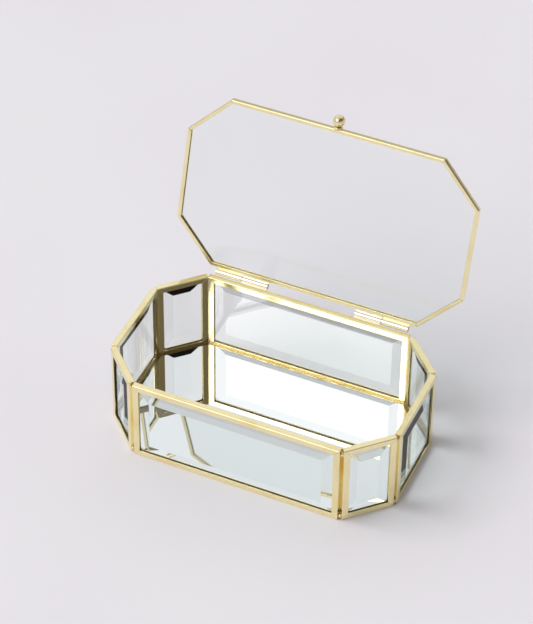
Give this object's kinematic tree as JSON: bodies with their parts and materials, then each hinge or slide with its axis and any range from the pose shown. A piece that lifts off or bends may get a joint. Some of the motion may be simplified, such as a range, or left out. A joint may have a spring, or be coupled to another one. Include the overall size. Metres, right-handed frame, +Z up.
{
  "type": "jewelry box",
  "caption": "Clipped-corner glass jewelry box with brass channel frames, bevelled walls, a mirror base and a hinged clear lid with a ball knob.",
  "frame": {"origin": "middle of the box's footprint, in the plane that the wall frames stand on", "axes": "+X to the right seen from the front, along the box's length; +Y from the front to the hinges; +Z up. At rest the lid is open."},
  "size_m": [0.191, 0.1549, 0.1766],
  "materials": {
    "polished_brass": "bright polished brass with fine wiping marks, slightly darker in the folds",
    "solder": "bright plated solder, rounded and slightly uneven",
    "clear_glass": "clear polished glass, faintly green at its edges",
    "mirror": "silvered glass mirror"
  },
  "bodies": {
    "case": {"front_frame": "polished_brass", "front_glass": "clear_glass", "front_right_frame": "polished_brass", "front_right_glass": "clear_glass", "right_frame": "polished_brass", "right_glass": "clear_glass", "back_right_frame": "polished_brass", "back_right_glass": "clear_glass", "back_frame": "polished_brass", "back_glass": "clear_glass", "back_left_frame": "polished_brass", "back_left_glass": "clear_glass", "left_frame": "polished_brass", "left_glass": "clear_glass", "front_left_frame": "polished_brass", "front_left_glass": "clear_glass", "mirror_frame": "polished_brass", "mirror_base": "mirror", "solder_front_bottom": "solder", "solder_front_top": "solder", "solder_front_right_bottom": "solder", "solder_front_right_top": "solder", "solder_right_bottom": "solder", "solder_right_top": "solder", "solder_back_right_bottom": "solder", "solder_back_right_top": "solder", "solder_back_bottom": "solder", "solder_back_top": "solder", "solder_back_left_bottom": "solder", "solder_back_left_top": "solder", "solder_left_bottom": "solder", "solder_left_top": "solder", "solder_front_left_bottom": "solder", "solder_front_left_top": "solder", "left_hinge_case_knuckle": "polished_brass", "right_hinge_case_knuckle": "polished_brass", "left_hinge_pin": "polished_brass", "right_hinge_pin": "polished_brass"},
    "lid": {"lid_frame": "polished_brass", "lid_glass": "clear_glass", "left_hinge_lid_knuckle": "polished_brass", "right_hinge_lid_knuckle": "polished_brass", "knob_ball": "polished_brass", "knob_collar": "polished_brass"}
  },
  "joints": [
    {"name": "lid_hinge", "type": "hinge", "parent": "case", "child": "lid", "pos_m": [0, 0.0589, 0.0579], "axis": [-1, 0, 0], "range_deg": [-106.5, 0]}
  ]
}
